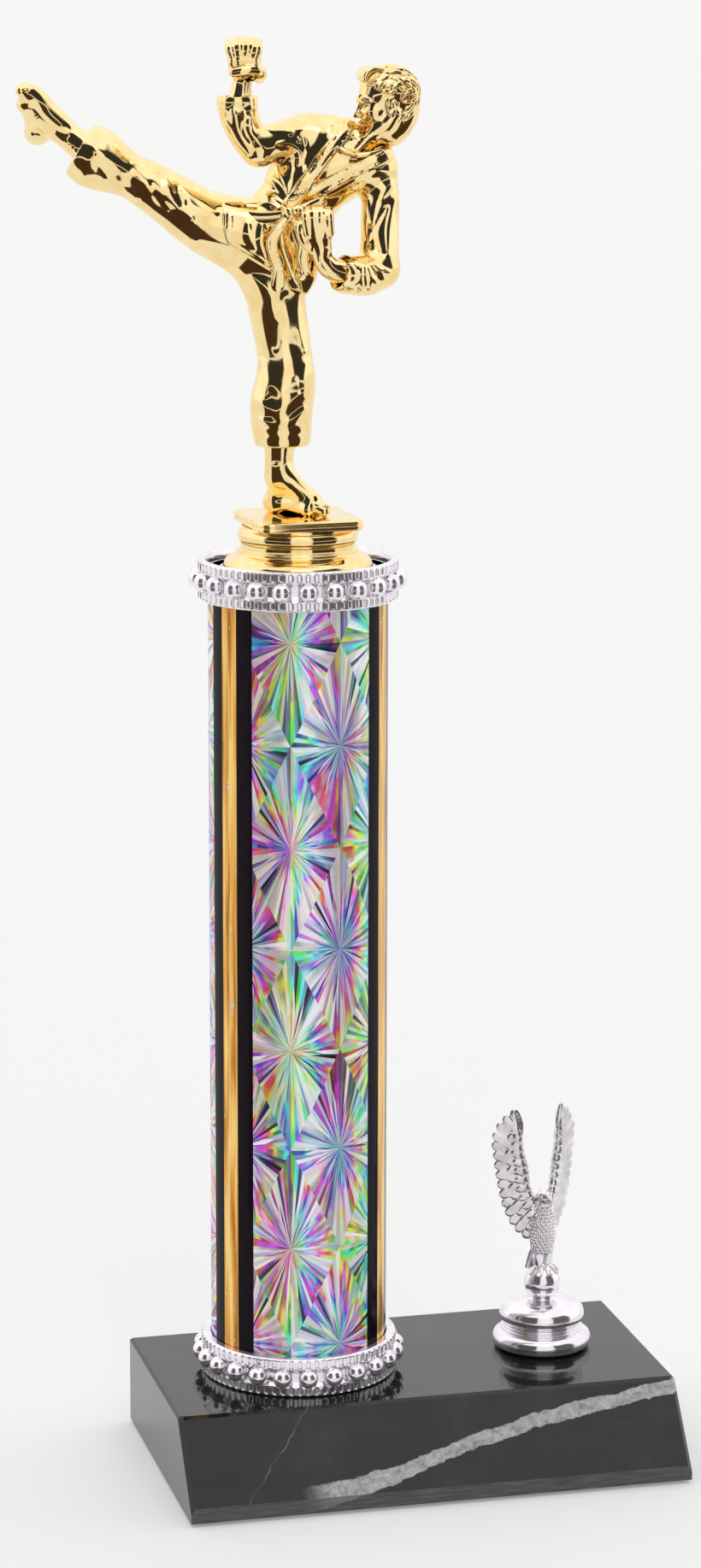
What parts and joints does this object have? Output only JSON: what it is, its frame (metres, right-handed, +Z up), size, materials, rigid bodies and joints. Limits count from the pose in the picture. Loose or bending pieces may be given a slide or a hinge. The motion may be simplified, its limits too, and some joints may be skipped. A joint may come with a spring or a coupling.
{
  "type": "column trophy",
  "caption": "Column trophy: marble base with slanted front, foil-wrapped column between beaded collars, gold high-kick karate figure on a round riser, and a small eagle trim.",
  "frame": {"origin": "centre of the felt's lower face, where the trophy stands", "axes": "+Z up along the column, +X along the base towards the eagle trim, -Y towards the slanted front"},
  "size_m": [0.1809, 0.088, 0.41],
  "materials": {
    "felt": "matte felt",
    "marble": "polished, white vein",
    "silver_plastic": "vacuum metallised silver",
    "gold_plastic": "vacuum metallised gold",
    "tube_board": "wound board",
    "star_foil": "holographic star foil",
    "gold_foil": "gold mirror foil",
    "black_foil": "gloss black",
    "zinc_steel": "zinc plated",
    "cap_disc": "silver"
  },
  "bodies": {
    "root": {"base_felt": "felt", "marble_base": "marble", "rod_nut": "zinc_steel", "rod_washer": "zinc_steel", "threaded_rod": "zinc_steel", "lower_collar": "silver_plastic", "lower_cap_disc": "cap_disc", "column_tube": "tube_board", "foil_star_panels": "star_foil", "foil_gold_stripes": "gold_foil", "foil_black_stripes": "black_foil", "upper_collar": "silver_plastic", "upper_cap_disc": "cap_disc", "riser_base": "gold_plastic", "riser_nut": "zinc_steel", "figure_screws": "zinc_steel", "karate_figure": "gold_plastic", "trim_washer": "zinc_steel", "trim_bolt": "zinc_steel", "trim_nut": "zinc_steel", "eagle_trim": "silver_plastic"}
  },
  "joints": []
}
